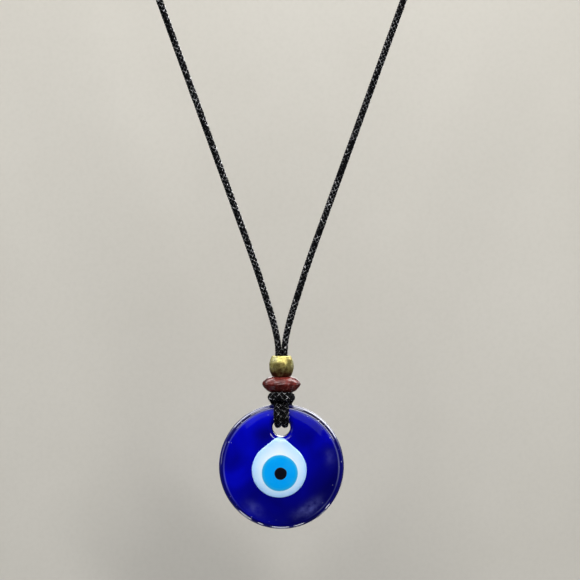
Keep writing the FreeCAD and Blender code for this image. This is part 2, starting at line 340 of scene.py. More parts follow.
def white_glass():
    shader = Shader("white_glass")
    edge = shader.attribute("edge")
    low = shader.attribute("low")
    body = shader.ramp(
        edge,
        (0.50, (0.86, 0.93, 0.96)),
        (0.84, (0.56, 0.76, 0.97)),
        (0.985, (0.42, 0.66, 1.00)),
    )
    # Painted shade: the lower part of the white is a little darker and bluer.
    shaded = shader.mix(low, body, (0.90, 0.96, 1.0), "MULTIPLY")
    streaks = shader.noise(330, detail=4.0, stretch=(1.0, 1.0, 2.2), distortion=0.7)
    colour = shader.mix(shader.span(streaks, 0.0, 0.35, 0.52, 0.8), shaded, (0.80, 0.86, 0.90))
    shader.set(
        Base_Color=colour,
        Roughness=shader.span(shader.noise(500, detail=4.0), 0.10, 0.26),
        IOR=1.5,
        Coat_Weight=0.2,
        Coat_Roughness=0.06,
        Subsurface_Weight=0.12,
        Subsurface_Radius=(0.6, 0.7, 1.0),
        Subsurface_Scale=0.6 * MM,
        Normal=shader.bump(shader.noise(700, detail=3.0), 0.02, 0.5),
    )
    return shader.material


def iris_glass():
    shader = Shader("light_blue_glass")
    edge = shader.attribute("edge")
    body = shader.ramp(
        edge,
        (0.00, (0.000, 0.310, 0.880)),
        (0.80, (0.000, 0.345, 0.860)),
        (0.95, (0.020, 0.370, 0.700)),
        (1.00, (0.200, 0.560, 0.740)),
    )
    cloud = shader.noise(420, detail=3.0)
    colour = shader.mix(shader.span(cloud, 0.0, 0.22, 0.45, 0.8), body, (0.03, 0.42, 0.86))
    shader.set(
        Base_Color=colour,
        Roughness=shader.span(shader.noise(600, detail=3.0), 0.10, 0.24),
        IOR=1.5,
        Coat_Weight=0.2,
        Coat_Roughness=0.06,
        Normal=shader.bump(shader.noise(650, detail=3.0), 0.015, 0.5),
    )
    return shader.material


def pupil_glass():
    shader = Shader("black_glass")
    edge = shader.attribute("edge")
    colour = shader.ramp(
        edge,
        (0.0, (0.0030, 0.0040, 0.0075)),
        (0.85, (0.0040, 0.0045, 0.0080)),
        (1.0, (0.030, 0.035, 0.060)),
    )
    shader.set(
        Base_Color=colour,
        Roughness=shader.span(shader.noise(900, detail=3.0), 0.14, 0.30),
        Specular_IOR_Level=0.3,
        Normal=shader.bump(shader.noise(900, detail=3.0), 0.012, 0.5),
    )
    return shader.material


def red_brown_bead():
    shader = Shader("red_brown_bead")
    cloud = shader.noise(260, detail=5.0, distortion=0.8)
    body = shader.ramp(
        cloud,
        (0.30, (0.030, 0.004, 0.003)),
        (0.55, (0.085, 0.010, 0.008)),
        (0.75, (0.180, 0.030, 0.024)),
    )
    specks = shader.noise(1500, detail=2.0)
    colour = shader.mix(shader.span(specks, 0.0, 0.5, 0.60, 0.72), body, (0.30, 0.12, 0.10))
    ripple = shader.bump(shader.noise(330, detail=3.0), 0.06, 0.6)
    shader.set(
        Base_Color=colour,
        Roughness=shader.span(shader.noise(800, detail=4.0), 0.16, 0.38),
        Specular_IOR_Level=0.1,
        Coat_Weight=0.30,
        Coat_Roughness=0.12,
        Normal=shader.bump(specks, 0.02, 0.6, ripple),
    )
    return shader.material


def aged_brass():
    """Hammered brass: grainy yellow above, dark brown towards the lower end, painted shade mixed
    with uneven brown stains.
    """
    shader = Shader("aged_brass")
    wear = shader.noise(420, detail=6.0, distortion=0.4)
    metal = shader.ramp(
        wear,
        (0.32, (0.26, 0.20, 0.060)),
        (0.50, (0.56, 0.50, 0.17)),
        (0.68, (0.95, 0.93, 0.56)),
    )
    grain = shader.noise(2200, detail=3.0)
    speckled = shader.mix(shader.span(grain, 0.0, 0.65, 0.50, 0.62), metal, (0.16, 0.12, 0.030))
    stain = shader.noise(850, detail=4.0)
    upward = shader.attribute("upward")
    # Painted shade: darker brown and less metallic towards the lower end, broken up by brown
    # stains.
    stain_and_painted_shade = shader.math("ADD", shader.span(upward, 1.15, -0.75), shader.span(stain, -0.9, 0.9))
    colour = shader.mix(stain_and_painted_shade, speckled, (0.070, 0.022, 0.007))
    dents = shader.bump(shader.noise(900, detail=3.0), 0.06, 0.8)
    shader.set(
        Base_Color=colour,
        Metallic=shader.span(upward, 0.7, 1.0),
        Roughness=shader.span(shader.noise(900, detail=4.0), 0.30, 0.55),
        Normal=shader.bump(grain, 0.03, 0.8, dents),
    )
    return shader.material


def black_yarn():
    shader = Shader("black_yarn")
    lint = shader.noise(3200, detail=3.0)
    colour = shader.ramp(
        lint,
        (0.35, (0.0006, 0.0006, 0.0010)),
        (0.64, (0.0020, 0.0020, 0.0028)),
        (0.84, (0.0200, 0.0200, 0.0250)),
    )
    fibres = shader.noise(2600, detail=4.0, stretch=(1.0, 1.0, 0.35))
    shader.set(
        Base_Color=colour,
        Roughness=shader.span(fibres, 0.38, 0.68),
        Specular_IOR_Level=0.09,
        Normal=shader.bump(fibres, 0.05, 0.9),
    )
    return shader.material


def silver_thread():
    shader = Shader("silver_thread")
    tarnish = shader.noise(900, detail=3.0)
    colour = shader.ramp(
        tarnish,
        (0.44, (0.006, 0.006, 0.008)),
        (0.54, (0.45, 0.45, 0.47)),
        (0.66, (0.95, 0.95, 0.97)),
    )
    shader.set(
        Base_Color=colour,
        Metallic=0.9,
        Roughness=shader.span(shader.noise(2500, detail=3.0), 0.18, 0.42),
        Normal=shader.bump(shader.noise(4200, detail=2.0), 0.03, 0.8),
    )
    return shader.material


def melted_tip():
    shader = Shader("melted_tip")
    lumps = shader.noise(900, detail=3.0)
    shader.set(
        Base_Color=shader.ramp(lumps, (0.3, (0.004, 0.004, 0.005)), (0.8, (0.03, 0.03, 0.032))),
        Roughness=shader.span(lumps, 0.22, 0.5),
        Normal=shader.bump(lumps, 0.12, 0.8),
    )
    return shader.material


COBALT = cobalt_glass()
WHITE = white_glass()
IRIS_BLUE = iris_glass()
PUPIL_BLACK = pupil_glass()
RED_BROWN = red_brown_bead()
BRASS = aged_brass()
YARN = black_yarn()
SILVER = silver_thread()
MELTED = melted_tip()


# ------------------------------------------------------------------ glass disc and eye

FLAT_RADIUS = 11.5
SHOULDER_RADIUS = 15.9
SHOULDER_HALF_THICKNESS = 2.2
HOLE_RADIUS = 2.5
HOLE_OVER_DISC = 10.9
HOLE_ROUNDING = 1.5
FLARE_RADIUS = HOLE_RADIUS + HOLE_ROUNDING
RIM_FULLNESS = 0.9
DISC_STEPS = 288
FLARE_STEPS = 12
FACE_STEPS = 44
SHOULDER_RINGS = (0.5, 0.22, 0.06)  # the face's last rings, in from the shoulder
RIM_STEPS = 26
WALL_STEPS = 5


def half_thickness(x, z):
    """How far the disc's face stands off its middle plane, at x and a height over the disc."""
    fall = HALF_THICKNESS - SHOULDER_HALF_THICKNESS
    run = SHOULDER_RADIUS - FLAT_RADIUS
    arc_radius = (run * run + fall * fall) / (2 * fall)
    out = np.clip(np.hypot(x, z) - FLAT_RADIUS, 0, run)
    face = HALF_THICKNESS - (arc_radius - np.sqrt(arc_radius ** 2 - out ** 2))
    into = np.clip(FLARE_RADIUS - np.hypot(x, z - HOLE_OVER_DISC), 0, HOLE_ROUNDING)
    return face - (HOLE_ROUNDING - np.sqrt(HOLE_ROUNDING ** 2 - into ** 2))


def face_rings():
    """(centre height over the disc, radius) of rings from the hole's edge to the shoulder."""
    rings = []
    for step in range(FLARE_STEPS + 1):
        lean = math.pi / 2 * step / FLARE_STEPS
        rings.append((HOLE_OVER_DISC, HOLE_RADIUS + HOLE_ROUNDING * (1 - math.cos(lean))))
    first, *others = [SHOULDER_RADIUS - inset for inset in SHOULDER_RINGS]
    for step in range(1, FACE_STEPS + 1):
        share = step / FACE_STEPS
        centre = HOLE_OVER_DISC * (1 - share)
        rings.append((centre, FLARE_RADIUS + (first - FLARE_RADIUS) * share))
    return rings + [(0.0, radius) for radius in others]


def disc_ripple(x, z, side):
    """Unevenness of the poured glass."""
    return 0.045 * waves(x, 0 * x, z, 9, 9.0, 11 + side)


def disc_side(side, angles):
    """Rings of points of one face, from the hole to the rim; the side is -1 in front."""
    rings = []
    for centre, radius in face_rings():
        x = radius * np.cos(angles)
        z = centre + radius * np.sin(angles)
        off_hole = np.hypot(x, z - HOLE_OVER_DISC) - HOLE_RADIUS
        ripple = disc_ripple(x, z, side) * np.clip(off_hole / 2, 0, 1)
        rings.append(np.stack([x, side * (half_thickness(x, z) + ripple), z], axis=1))
    for step in range(RIM_STEPS):
        lean = math.pi / 2 * step / RIM_STEPS
        radius = SHOULDER_RADIUS + (DISC_RADIUS - SHOULDER_RADIUS) * math.sin(lean)
        x = radius * np.cos(angles)
        z = radius * np.sin(angles)
        shoulder = SHOULDER_HALF_THICKNESS + disc_ripple(x, z, side)
        rings.append(np.stack([x, side * shoulder * math.cos(lean) ** RIM_FULLNESS, z], axis=1))
    return rings


# Painted light round the glass's rim: direction, width (both in degrees), strength. RIM_LIGHTS
# says where the rim is lit, which darkens its painted dark reflection; the lines are painted
# highlights and the hazes painted reflections.
RIM_LIGHTS = [(55, 34, 1.0), (128, 26, 0.75), (240, 16, 0.5), (300, 20, 0.5)]
PAINTED_INNER_HIGHLIGHTS = [(55, 34, 0.35), (128, 26, 0.25), (192, 22, 0.18), (0, 20, 0.25), (318, 12, 0.15)]
PAINTED_OUTER_HIGHLIGHTS = [(48, 26, 0.35), (126, 20, 0.25), (233, 8, 0.5), (270, 6, 0.4), (312, 5, 0.5)]
PAINTED_REFLECTIONS = [(303, 14, 0.85), (236, 11, 0.4), (12, 10, 0.2)]

# Painted glow and painted shade on its face: x, height over the disc, width, strength
PAINTED_GLOWS = [(-8.8, 4.8, 3.0, 0.7)]
SHADES = [(-7.0, -8.0, 5.0, 0.75), (-4.5, 8.8, 3.6, 0.8), (5.5, 7.8, 4.2, 0.5)]

INNER_HIGHLIGHT_RING = (SHOULDER_RADIUS + 0.18, 0.16)  # radius, width
OUTER_HIGHLIGHT_RING = (DISC_RADIUS - 0.2, 0.2)
PAINTED_REFLECTION_RING = (13.9, 1.5)

LOWER_RIGHT = (0.75, -0.66)   # the way in which the painted shade darkens the face
DARKER_FROM = 1.5             # it starts to darken this far that way
DARKEST_FROM = 13.0           # and is darkest from here
FRONT_FROM = 0.3              # the painted outer highlight shows only this far in front of the middle plane


def bell(value, middle, width):
    return np.exp(-((value - middle) / width) ** 2)


def ramp_up(value, start, end):
    return np.clip((value - start) / (end - start), 0, 1)


def around_rim(around, spots):
    """Smooth strength by direction, a sum of bells."""
    total = np.zeros(len(around))
    for middle, width, strength in spots:
        away = np.angle(np.exp(1j * (around - math.radians(middle))))
        total += strength * bell(away, 0.0, math.radians(width))
    return np.clip(total, 0, 1)


def over_face(x, z, spots):
    """Smooth strength by place, a sum of round bells."""
    total = np.zeros(len(x))
    for middle_x, middle_z, width, strength in spots:
        total += strength * bell(np.hypot(x - middle_x, z - middle_z), 0.0, width)
    return total


def glass_disc():
    angles = np.arange(DISC_STEPS) * TURN / DISC_STEPS
    front = disc_side(-1, angles)
    back = disc_side(1, angles)
    x = DISC_RADIUS * np.cos(angles)
    z = DISC_RADIUS * np.sin(angles)
    rim = [np.stack([x, 0 * x, z], axis=1)]
    wall = []
    for step in range(1, WALL_STEPS):
        share = step / WALL_STEPS
        wall.append(back[0] * (1 - share) + front[0] * share)
    rings = front + rim + back[::-1] + wall
    points = np.concatenate(rings)
    faces = grid_faces(len(rings), DISC_STEPS, close_rows=True).tolist()
    made = make_mesh("cobalt_disc", points + [0, 0, DISC_Z], faces, [COBALT])
    x, y, z = points.T
    reach = np.hypot(x, z)
    around = np.arctan2(z, x)
    front_only = y < -FRONT_FROM
    lower_right = ramp_up(LOWER_RIGHT[0] * x + LOWER_RIGHT[1] * z, DARKER_FROM, DARKEST_FROM)
    # Masks for the glass's colours; most are painted light and shade: a painted dark reflection in
    # the rim band, painted highlight lines, painted reflections, painted shade and a painted glow.
    shown = {
        "rim": ramp_up(reach, SHOULDER_RADIUS + 0.2, SHOULDER_RADIUS + 0.6),
        "near_rim": ramp_up(reach, SHOULDER_RADIUS - 1.2, SHOULDER_RADIUS - 0.4),
        "painted_inner_highlight": bell(reach, *INNER_HIGHLIGHT_RING) * around_rim(around, PAINTED_INNER_HIGHLIGHTS),
        "painted_outer_highlight": bell(reach, *OUTER_HIGHLIGHT_RING) * around_rim(around, PAINTED_OUTER_HIGHLIGHTS) * front_only,
        "lit": around_rim(around, RIM_LIGHTS),
        "painted_reflection": bell(reach, *PAINTED_REFLECTION_RING) * around_rim(around, PAINTED_REFLECTIONS),
        "shade": np.clip(lower_right + over_face(x, z, SHADES), 0, 1),
        "painted_glow": over_face(x, z, PAINTED_GLOWS),
    }
    for name, values in shown.items():
        store(made.data, name, values)
    stand_for(made, "glass_disc", "charm")


WHITE_BODY = (-0.6, -0.8, 7.65)
WHITE_TIP = (-0.5, 5.75, 2.65)
IRIS = (-0.45, -1.55, 5.1)
PUPIL = (-0.2, -1.7, 1.75)
WHITE_RAISE = 0.62
IRIS_RAISE = 0.13
PUPIL_RAISE = 0.10
FALL_FILLED = 0.55      # share of the fall of the disc's face that the white fills
WHITE_EDGE_SUNK = 0.03  # edges go a little into what is below them
LAYER_EDGE_SUNK = 0.02
LAYER_RINGS = 44
LAYER_STEPS = 240
DROP_CIRCLES = 80


def drop_reach(angles):
    """Distance from the middle of the white's round body to its outline, by direction."""
    reach = np.zeros(len(angles))
    for share in np.linspace(0, 1, DROP_CIRCLES):
        x, z, radius = [a + (b - a) * share for a, b in zip(WHITE_BODY, WHITE_TIP)]
        along = (x - WHITE_BODY[0]) * np.cos(angles) + (z - WHITE_BODY[1]) * np.sin(angles)
        away = (x - WHITE_BODY[0]) ** 2 + (z - WHITE_BODY[1]) ** 2
        inside = along ** 2 - away + radius ** 2
        far = np.where(inside > 0, along + np.sqrt(np.maximum(inside, 0)), 0)
        reach = np.maximum(reach, far)
    return reach


def hand_drawn(angles, amount, seed):
    """A little unevenness for an outline made by hand."""
    return 1 + amount * waves(4 * np.cos(angles), 4 * np.sin(angles), 0 * angles, 6, 5.0, seed)


def make_white_reach():
    """Outline of the white as a smooth function of direction."""
    angles = np.linspace(-math.pi, math.pi, 721)
    reach = drop_reach(angles) * hand_drawn(angles, 0.004, 3)
    return lambda angle: np.interp(angle, angles, reach)


white_reach = make_white_reach()


def white_front(x, z):
    """How far the white glass stands in front of the disc's middle plane."""
    across = x - WHITE_BODY[0]
    up = z - WHITE_BODY[1]
    share = np.clip(np.hypot(across, up) / white_reach(np.arctan2(up, across)), 0, 1)
    dome = (1 - share ** 3.2) ** (1 / 2.2)
    face = half_thickness(x, z)
    unevenness = 0.012 * waves(x, 0 * x, z, 7, 5.0, 21)
    raised = FALL_FILLED * (HALF_THICKNESS - face) + WHITE_RAISE
    return face + raised * dome - WHITE_EDGE_SUNK + unevenness


def eye_layer(name, centre, reach, front, material, node):
    """Rounded cap of glass seen from the front, over (x, height over the disc)."""
    angles = np.arange(LAYER_STEPS) * TURN / LAYER_STEPS - math.pi
    shares = np.sin(np.linspace(0, math.pi / 2, LAYER_RINGS + 1))[1:]
    out = np.outer(shares, reach(angles))
    x = centre[0] + np.append(0.0, out * np.cos(angles))
    z = centre[1] + np.append(0.0, out * np.sin(angles))
    points = np.stack([x, -front(x, z), z + DISC_Z], axis=1)
    faces = grid_faces(LAYER_RINGS, LAYER_STEPS, first=1).tolist()
    faces += [[0, 1 + (step + 1) % LAYER_STEPS, 1 + step] for step in range(LAYER_STEPS)]
    made = make_mesh(name, points, faces, [material])
    store(made.data, "edge", np.append(0.0, np.repeat(shares, LAYER_STEPS)))
    # How low a point is on the layer, which the white uses for its painted shade.
    store(made.data, "low", np.clip(0.5 - (z - centre[1]) / 18, 0, 1))
    stand_for(made, node, "charm")


def round_cap(spot, raised, base, seed, wobble=0.006):
    """(reach, front) functions of a round layer that stands a little over the one below."""
    x0, z0, radius = spot

    def reach(angle):
        return radius * hand_drawn(angle, wobble, seed)

    def front(x, z):
        away = np.hypot(x - x0, z - z0)
        share = np.clip(away / reach(np.arctan2(z - z0, x - x0)), 0, 1)
        return base(x, z) + raised * (1 - share ** 3) ** 0.5 - LAYER_EDGE_SUNK

    return reach, front


def eye():
    iris_reach, iris_front = round_cap(IRIS, IRIS_RAISE, white_front, 5)
    pupil_reach, pupil_front = round_cap(PUPIL, PUPIL_RAISE, iris_front, 6, 0.02)
    eye_layer("white_drop", WHITE_BODY, white_reach, white_front, WHITE, "eye_white")
    eye_layer("blue_iris", IRIS, iris_reach, iris_front, IRIS_BLUE, "eye_iris")
    eye_layer("black_pupil", PUPIL, pupil_reach, pupil_front, PUPIL_BLACK, "eye_pupil")


# ------------------------------------------------------------------ beads

BORE_RADIUS = 2.1
SAUCER_STEPS = 160
BARREL_STEPS = 144

SAUCER_FACE_RADIUS = 2.6
SAUCER_CHAMFER = 0.35
SAUCER_CHAMFER_MIDDLE = 0.12
SAUCER_RAISED = 0.24  # its edge is this much over the middle of its height

BARREL_FACE_RADIUS = 2.35
BARREL_CHAMFER = 0.2
BARREL_LIP = 0.4      # height of the rounding at each end
BARREL_SWELL = 0.62   # from the rounding out to the belly


def bead_size(node):
    """(middle height, half height, radius) of a bead."""
    low, high = box_mm(node)
    return (low[2] + high[2]) / 2, (high[2] - low[2]) / 2, high[0]


def mirrored(outline):
    """The outline from its low end to the middle, and on to the same at its high end."""
    return outline + [(radius, -height) for radius, height in reversed(outline[:-1])]


def saucer():
    middle, half, rim = bead_size("saucer_bead")
    bore_half = half - SAUCER_CHAMFER
    lower = [
        (BORE_RADIUS + SAUCER_CHAMFER_MIDDLE, -half + SAUCER_CHAMFER_MIDDLE),
        (BORE_RADIUS + SAUCER_CHAMFER, -half),
    ]
    for share in np.sin(np.linspace(0, math.pi / 2, 36)):
        radius = SAUCER_FACE_RADIUS + (rim - SAUCER_FACE_RADIUS) * share
        lower.append((radius, -half * (1 - share ** 1.7) ** 0.75))
    outline = [(BORE_RADIUS, z) for z in np.linspace(bore_half, -bore_half, 9)] + mirrored(lower)
    outline = [(radius, middle + height + SAUCER_RAISED * (1 - (height / half) ** 2))
               for radius, height in outline]

    def wobble(angle, height, radius):
        out = np.clip((radius - BORE_RADIUS) / 2, 0, 1)
        x = radius * np.cos(angle)
        y = radius * np.sin(angle)
        chips = 0.05 * out ** 4 * waves(x, y, 3 * height, 10, 1.3, 32)
        return out * 0.04 * waves(x, y, height, 8, 4.0, 31) + chips

    made = lathe("saucer_bead_glazed", outline, SAUCER_STEPS, RED_BROWN, wobble)
    stand_for(made, "saucer_bead", "saucer")


def barrel():
    middle, half, belly = bead_size("barrel_bead")
    bore_half = half - BARREL_CHAMFER
    corner = belly - BARREL_SWELL
    lower = [(BORE_RADIUS + 0.08, -half + 0.05), (BARREL_FACE_RADIUS - 0.1, -half)]
    for lean in np.linspace(0, math.pi / 2, 8)[1:]:
        radius = BARREL_FACE_RADIUS + (corner - BARREL_FACE_RADIUS) * math.sin(lean)
        lower.append((radius, -half + BARREL_LIP * (1 - math.cos(lean))))
    for share in np.linspace(0, 1, 14)[1:]:
        bulge = 1 - (1 - share) ** 2.4
        lower.append((corner + BARREL_SWELL * bulge, (BARREL_LIP - half) * (1 - share)))
    outline = [(BORE_RADIUS, z) for z in np.linspace(bore_half, -bore_half, 12)] + mirrored(lower)

    def wobble(angle, height, radius):
        out = np.clip(radius - BORE_RADIUS, 0, 1)
        x = radius * np.cos(angle)
        y = radius * np.sin(angle)
        return out * 0.05 * waves(x, y, height, 12, 2.4, 41)

    placed = [(radius, height + middle) for radius, height in outline]
    made = lathe("barrel_bead_brass", placed, BARREL_STEPS, BRASS, wobble)
    upward = [(height + half) / (2 * half) for _, height in outline]
    store(made.data, "upward", np.repeat(upward, BARREL_STEPS))
    stand_for(made, "barrel_bead", "barrel")


# ------------------------------------------------------------------ braided cord

CARRIERS = 4          # carriers each way round the braid
BRAID_PITCH = 5.6     # length in which a carrier goes once round
SAMPLES_PER_MM = 5.0
YARN_RADIUS = 0.19
YARN_SPREAD = 0.185   # half the distance between the two yarns of a carrier
THREAD_RADIUS = 0.095
THREAD_LIFT = 0.125   # how far a thread stands out from its yarns' middle
WEAVE_LIFT = 0.12     # how far a carrier goes in and out as it crosses the others
OTHER_WAY_AHEAD = 0.4  # radians by which the carriers that turn back start ahead
THREAD_TURNED = 0.7
YARN_SIDES = 5
THREAD_SIDES = 3
CORE_SIDES = 10


class Path:
    """Centreline with its length, side directions and thickness, sampled finely."""

    def __init__(self, points, radii=None):
        self.points = np.asarray(points, float)
        steps = np.linalg.norm(np.diff(self.points, axis=0), axis=1)
        keep = np.concatenate([[True], steps > 1e-6])
        self.points = self.points[keep]
        steps = np.linalg.norm(np.diff(self.points, axis=0), axis=1)
        self.length = np.concatenate([[0.0], np.cumsum(steps)])
        self.end = float(self.length[-1])
        if radii is None:
            radii = np.full(len(keep), CORD_RADIUS)
        self.radii = np.asarray(radii, float)[keep]
        heading = np.gradient(self.points, self.length, axis=0)
        self.heading = heading / np.linalg.norm(heading, axis=1)[:, None]
        side = np.array([0.0, 1.0, 0.0])
        if abs(self.heading[0] @ side) > 0.9:
            side = np.array([1.0, 0.0, 0.0])
        sides = []
        for direction in self.heading:
            side = side - direction * (side @ direction)
            side = side / np.linalg.norm(side)
            sides.append(side)
        self.sides = np.array(sides)

    def at(self, along):
        """Centre, two directions across the path and radius, at lengths along it."""

        def read(values):
            return np.stack([np.interp(along, self.length, v) for v in values.T], axis=1)

        centre = read(self.points)
        heading = read(self.heading)
        heading /= np.linalg.norm(heading, axis=1)[:, None]
        side = read(self.sides)
        side -= heading * np.sum(side * heading, axis=1)[:, None]
        side /= np.linalg.norm(side, axis=1)[:, None]
        other = np.cross(heading, side)
        radius = np.interp(along, self.length, self.radii)
        return centre, side, other, radius

    def along_height(self, height):
        """Length at which the path, going up, first reaches a height."""
        return float(self.length[np.argmax(self.points[:, 2] >= height)])


class Braid:
    """Tubes that run beside one stretch of a path, joined in one mesh of two materials."""

    def __init__(self, path, along):
        self.centre, self.side, self.other, radius = path.at(along)
        self.scale = radius / CORD_RADIUS
        self.points = []
        self.faces = []
        self.materials = []
        self.count = 0

    def add(self, reach, angle, radius, sides, material, turned=0.0):
        """Tube at a distance and an angle from the centreline, each one value or one per ring."""
        angles = turned + np.arange(sides) * TURN / sides
        across = (self.scale * reach * np.cos(angle))[:, None] + radius * np.cos(angles)
        up = (self.scale * reach * np.sin(angle))[:, None] + radius * np.sin(angles)
        tube = (self.centre[:, None, :] + across[..., None] * self.side[:, None, :]
                + up[..., None] * self.other[:, None, :])
        made = grid_faces(len(tube), sides, first=self.count)
        self.points.append(tube.reshape(-1, 3))
        self.faces.append(made)
        self.materials.append(np.full(len(made), material))
        self.count += len(tube) * sides

    def mesh(self, name, materials):
        return make_mesh(name, np.concatenate(self.points), np.concatenate(self.faces).tolist(),
                         materials, np.concatenate(self.materials))


def cord(name, path, start, end, node, body, blend=None, thread_radius=THREAD_RADIUS):
    """Braid between two lengths along a path: carriers of two black yarns and a silver thread,
    crossing over and under, round a dark core."""
    along = np.linspace(start, end, max(3, int((end - start) * SAMPLES_PER_MM) + 1))
    braid = Braid(path, along)
    middle = CORD_RADIUS - YARN_RADIUS - WEAVE_LIFT
    turning = TURN * along / BRAID_PITCH
    slant = math.cos(math.atan(TURN * middle / BRAID_PITCH))
    yarn_shift = YARN_SPREAD / (middle * slant)
    for way, ahead in ((1, 0.0), (-1, OTHER_WAY_AHEAD)):
        reach = middle + WEAVE_LIFT * way * np.cos(CARRIERS * turning)
        for carrier in range(CARRIERS):
            angle = way * turning + TURN * carrier / CARRIERS + ahead
            for shift in (-yarn_shift, yarn_shift):
                braid.add(reach, angle + shift, YARN_RADIUS, YARN_SIDES, 0)
            braid.add(reach + THREAD_LIFT, angle, thread_radius, THREAD_SIDES, 1, THREAD_TURNED)
    core_radius = (middle - WEAVE_LIFT) * braid.scale[:, None]
    braid.add(0.0, 0.0, core_radius, CORE_SIDES, 0)
    stand_for(braid.mesh(name, [YARN, SILVER]), node, body, blend)


def smooth(stations, steps):
    """Points of a smooth path through the stations; the first and last only set directions."""
    stations = np.asarray(stations, float)
    samples = []
    for index in range(1, len(stations) - 2):
        before, here, there, after = stations[index - 1:index + 3]
        for t in np.arange(steps) / steps:
            bend = 2 * before - 5 * here + 4 * there - after
            twist = 3 * here - before - 3 * there + after
            samples.append(here + (t * (there - before) + t * t * bend + t ** 3 * twist) / 2)
    samples.append(stations[-2])
    return np.array(samples)


def hermite(start, start_direction, end, end_direction, steps):
    """Points of a cubic that leaves and arrives along unit directions."""
    start, end = np.asarray(start, float), np.asarray(end, float)
    reach = np.linalg.norm(end - start)
    t = np.linspace(0, 1, steps + 1)[:, None]
    return (start * (2 * t ** 3 - 3 * t ** 2 + 1)
            + np.asarray(start_direction) * reach * (t ** 3 - 2 * t ** 2 + t)
            + end * (3 * t ** 2 - 2 * t ** 3)
            + np.asarray(end_direction) * reach * (t ** 3 - t ** 2))


STRAND_ANGLE = math.radians(20)
BEND_MIDDLE = (2.43, 41.0)     # x, height over the disc
BEND_MIDDLE_ANGLE = math.radians(15.5)
BEND_END_X = 4.14
BEND_END_ANGLE = math.radians(17)
STRAIGHT_START = (9.8, 63.5)   # x, height over the disc
STRAND_X = 0.84                # the strands are pressed together in the beads
SQUEEZE = 0.06                 # and thinner by this much, which fades over some length
SQUEEZE_FADE = 4.0
INTO_HITCH = 0.4
OUT_OF_BARREL = 0.5

# Where the cord changes from one piece to the next, and where each piece's blend ends
PAIR_BELOW_BEND = 5.9
ROOT_OVER_BEND = 13.0
SWAY_BELOW_BEND = 6.1
SWAY_BELOW_MEETING = 1.0
SWING_REACH = 5.8
KNOT_HALF_LENGTH = 4.2


def leaning(angle):
    return np.array([math.sin(angle), 0.0, math.cos(angle)])


def strand_points():
    """Right strand from the hitch up through the beads, the V and the corner to the far knot."""
    hitch = np.array([STRAND_X, 0.0, HITCH_TOP - INTO_HITCH])
    leave_bead = np.array([STRAND_X, 0.0, BARREL_TOP + OUT_OF_BARREL])
    middle = np.array([BEND_MIDDLE[0], 0.0, BEND_MIDDLE[1] + DISC_Z])
    top = np.array([BEND_END_X, 0.0, BEND_TOP])
    leave = np.array([STRAIGHT_START[0], 0.0, STRAIGHT_START[1] + DISC_Z])
    corner = np.array([RUN_HALF_LENGTH, 0.0, RUN_HEIGHT - CORNER_RADIUS])
    angles = np.linspace(-STRAND_ANGLE, math.pi / 2, 90)
    arc = corner + CORNER_RADIUS * np.stack(
        [np.cos(angles), 0 * angles, np.sin(angles)], axis=1)
    pieces = [
        np.linspace(hitch, leave_bead, 40),
        hermite(leave_bead, leaning(0), middle, leaning(BEND_MIDDLE_ANGLE), 50),
        hermite(middle, leaning(BEND_MIDDLE_ANGLE), top, leaning(BEND_END_ANGLE), 30),
        hermite(top, leaning(BEND_END_ANGLE), leave, leaning(STRAND_ANGLE), 60),
        np.linspace(leave, arc[0], 200),
        arc,
        np.linspace(arc[-1], [-KNOT_X, 0.0, RUN_HEIGHT], 120),
    ]
    points = np.concatenate(pieces)
    lean = np.clip((points[:, 2] - BEND_TOP) / (RUN_HEIGHT - BEND_TOP), 0, 1)
    points[:, 1] = RUN_OFFSET * lean
    return points


def half_turn(points):
    return np.asarray(points) * np.array([-1.0, -1.0, 1.0])


def strands():
    split = BEND_TOP - PAIR_BELOW_BEND
    sway = (0, 0, BEND_TOP - SWAY_BELOW_BEND), (0, 0, STRANDS_MEET - SWAY_BELOW_MEETING)
    swing = (0, 0, BEND_TOP + SWING_REACH), (0, 0, BEND_TOP - SWING_REACH)
    for name, other, turn in (("right", "left", 1), ("left", "right", -1)):
        points = strand_points()
        if turn < 0:
            points = half_turn(points)
        squeezed = np.clip((split - points[:, 2]) / SQUEEZE_FADE, 0, 1)
        path = Path(points, CORD_RADIUS - SQUEEZE * squeezed)
        at_split = path.along_height(split)
        at_root = path.along_height(BEND_TOP + ROOT_OVER_BEND)
        at_run = path.along_height(RUN_HEIGHT - 1e-6)
        run_start = (turn * RUN_HALF_LENGTH, 0, RUN_HEIGHT)
        far_knot = (-turn * (KNOT_X - KNOT_HALF_LENGTH), 0, RUN_HEIGHT)
        cord(name + "_pair_cord", path, 0.0, at_split, name + "_bead_cord",
             "bend", ("drop", *sway))
        cord(name + "_bend_cord", path, at_split, at_root, name + "_cord_bend",
             "neck_cord", ("bend", *swing))
        cord(name + "_strand_cord", path, at_root, at_run, name + "_strand", "neck_cord")
        cord(name + "_run_cord", path, at_run, path.end, name + "_run",
             "neck_cord", (other + "_slider", run_start, far_knot))


# Right half of the hitch: x, y, height over the disc, radius
HITCH_HALF = [
    (0.84, 0.0, 21.0, 1.0),
    (0.86, -0.6, 19.8, 1.02),
    (0.98, -2.5, 17.8, 1.16),
    (1.03, -3.9, 15.9, 1.25),
    (1.04, -4.2, 14.6, 1.26),
    (1.02, -3.75, 13.25, 1.22),
    (0.98, -2.3, 12.1, 1.10),
    (0.97, 0.0, 11.75, 1.02),
    (1.02, 2.3, 12.1, 1.06),
    (1.10, 3.75, 13.25, 1.10),
    (1.22, 4.2, 14.6, 1.12),
    (1.6, 4.0, 16.3, 1.08),
    (2.3, 2.9, 18.1, 1.02),
    (2.76, 1.0, 19.1, 1.08),
    (2.74, -1.2, 19.4, 1.16),
    (2.56, -3.0, 19.6, 1.30),
    (1.6, -4.05, 19.75, 1.38),
    (0.0, -4.2, 19.78, 1.40),
]
HITCH_THREAD_RADIUS = 0.075
